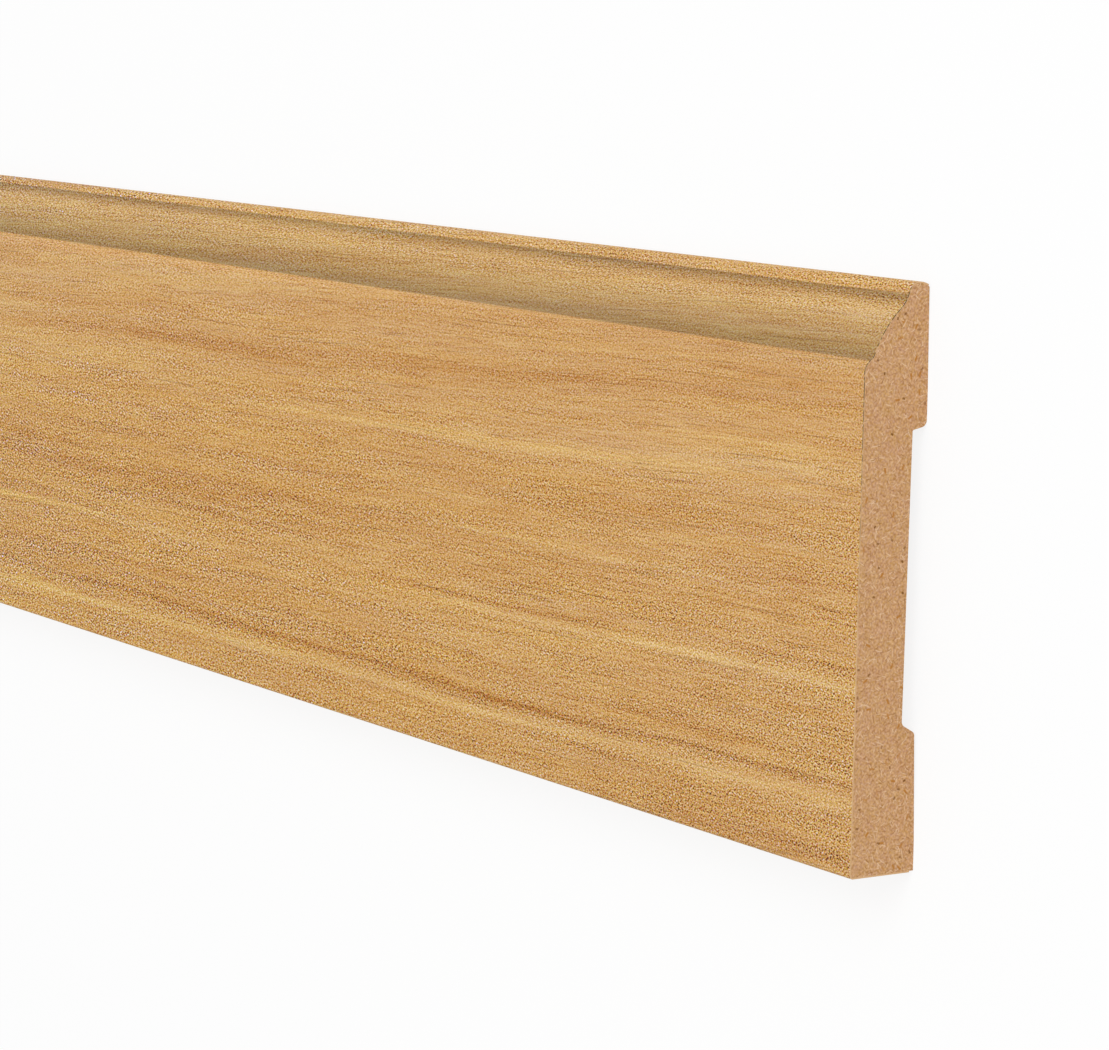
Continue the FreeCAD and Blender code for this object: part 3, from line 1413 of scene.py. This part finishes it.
@dataclass(frozen=True)
class Viewpoint:
    """The photograph's viewing angle.

    Attributes:
        eye: the camera's place in millimetres.
        target: the point at the middle of the picture, in millimetres.
        roll: degrees that the camera is turned about its line of sight.
        lens: focal length in millimetres.
        picture: the picture's width in millimetres.
        clip: the nearest and the furthest distance that it sees, in metres.
    """

    eye: tuple[float, float, float] = (1829.32, 116.81, 494.56)
    target: tuple[float, float, float] = (1088.32, -1.82, 16.0)
    roll: float = 1.07
    lens: float = 130.11
    picture: float = 36.0
    clip: tuple[float, float] = (0.05, 100.0)

    def build(self) -> bpy.types.Object:
        """Builds the camera, upright along Y but for its roll.

        Returns:
            The camera, which is the scene's own.
        """
        data = bpy.data.cameras.new("photo_view")
        data.lens = self.lens
        data.sensor_width = self.picture
        data.clip_start, data.clip_end = self.clip
        camera = bpy.data.objects.new("photo_view", data)
        eye = Vector(self.eye) * MM
        sight = (Vector(self.target) * MM - eye).normalized()
        right = sight.cross(Vector((0.0, 1.0, 0.0))).normalized()
        axes = Matrix((right, right.cross(sight), -sight)).transposed()
        turned = axes @ Matrix.Rotation(math.radians(self.roll), 3, "Z")
        camera.matrix_world = Matrix.Translation(eye) @ turned.to_4x4()
        bpy.context.scene.collection.objects.link(camera)
        bpy.context.scene.camera = camera
        return camera


@dataclass(frozen=True)
class Studio:
    """A plain pale floor and plain soft light, in metres.

    Attributes:
        floor_half: half the floor's width.
        paint: how light the floor's paint is.
        floor_glow: the share of plain white that the camera sees on it.
        ambient: the strength of the light from all round.
        lamp_place: where the large soft lamp hangs.
        lamp_target: where it points.
        lamp_size: its width.
        lamp_power: its power in watts.
    """

    floor_half: float = 40.0
    paint: float = 0.94
    floor_glow: float = 0.86
    ambient: float = 0.62
    lamp_place: tuple[float, float, float] = (2.6, 1.6, 2.2)
    lamp_target: tuple[float, float, float] = (1.0, 0.0, 0.0)
    lamp_size: float = 2.0
    lamp_power: float = 55.0

    def build(self) -> None:
        """Builds the floor, the surroundings and the lamp, and sets the plain view."""
        self.build_floor()
        self.build_world()
        self.build_lamp()
        bpy.context.scene.view_settings.view_transform = "Standard"

    @staticmethod
    def seen_directly(bench: Bench) -> Signal:
        """Tells the rays that the camera, a reflection or a clear body sends.

        Args:
            bench: the bench of the floor's or the world's tree.

        Returns:
            1 for these rays and 0 for the others.
        """
        path = bench.node("LightPath", {}).outputs
        kinds = ("Is Camera Ray", "Is Glossy Ray", "Is Transmission Ray")
        camera, glossy, clear = (Signal(bench, path[kind]) for kind in kinds)
        return (camera + glossy + clear).apply("MINIMUM", 1.0)

    def build_floor(self) -> None:
        """Builds the floor, which keeps the board's shadow but is white where it is lit."""
        half = self.floor_half
        corners = [(-half, -half, 0.0), (half, -half, 0.0), (half, half, 0.0), (-half, half, 0.0)]
        mesh = bpy.data.meshes.new("studio_floor")
        mesh.from_pydata(corners, [], [(0, 1, 2, 3)])
        floor = bpy.data.objects.new("studio_floor", mesh)
        bpy.context.scene.collection.objects.link(floor)
        material = bpy.data.materials.new("pale_floor_paint")
        material.use_nodes = True
        bench = Bench(material.node_tree)
        paint = bench.signals("BsdfDiffuse", {"Color": (self.paint,) * 3 + (1.0,)})[0]
        glow = bench.signals("Emission", {})[0]
        share = self.seen_directly(bench) * self.floor_glow
        blend = bench.signals("MixShader", {0: share, 1: paint, 2: glow})[0]
        bench.node("OutputMaterial", {"Surface": blend})
        mesh.materials.append(material)

    def build_world(self) -> None:
        """Builds even light from all round, behind which the background is white."""
        world = bpy.data.worlds.new("studio_surroundings")
        world.use_nodes = True
        bpy.context.scene.world = world
        bench = Bench(world.node_tree)
        light = bench.signals("Background", {"Color": WHITE, "Strength": self.ambient})[0]
        white = bench.signals("Background", {"Color": WHITE})[0]
        blend = bench.signals("MixShader", {0: self.seen_directly(bench), 1: light, 2: white})[0]
        bench.node("OutputWorld", {"Surface": blend})

    def build_lamp(self) -> None:
        """Builds the large soft lamp."""
        data = bpy.data.lights.new("key_softbox", "AREA")
        data.shape = "SQUARE"
        data.size = self.lamp_size
        data.energy = self.lamp_power
        lamp = bpy.data.objects.new("key_softbox", data)
        place = Vector(self.lamp_place)
        turn = (Vector(self.lamp_target) - place).to_track_quat("-Z", "Y")
        lamp.matrix_world = Matrix.Translation(place) @ turn.to_matrix().to_4x4()
        bpy.context.scene.collection.objects.link(lamp)


def main() -> None:
    """Loads the frame, builds and dresses both pieces and sets up the studio."""
    logging.basicConfig(level=logging.INFO, format="%(name)s: %(message)s")
    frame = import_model()
    LOG.info("frame with the nodes %s", ", ".join(frame["nodes"]))
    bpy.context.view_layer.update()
    board = Board()
    wrap = Wrap(board, MouldedEdge(board))
    effects = SharedEffects()

    core = FibreCore(wrap, RelievedBack(board))
    foil = DecorFoil(wrap)
    for part, node, slot in ((core, "mdf_core", "mdf"), (foil, "oak_decor_foil", "oak_foil")):
        piece = part.build()
        part.dress(piece, effects)
        bind(piece, node)
        LOG.info("%s: %d faces", piece.name, len(piece.data.polygons))

    Studio().build()
    camera = Viewpoint().build()
    LOG.info("camera %s with a lens of %.2f mm", camera.name, camera.data.lens)


if __name__ == "__main__":
    main()
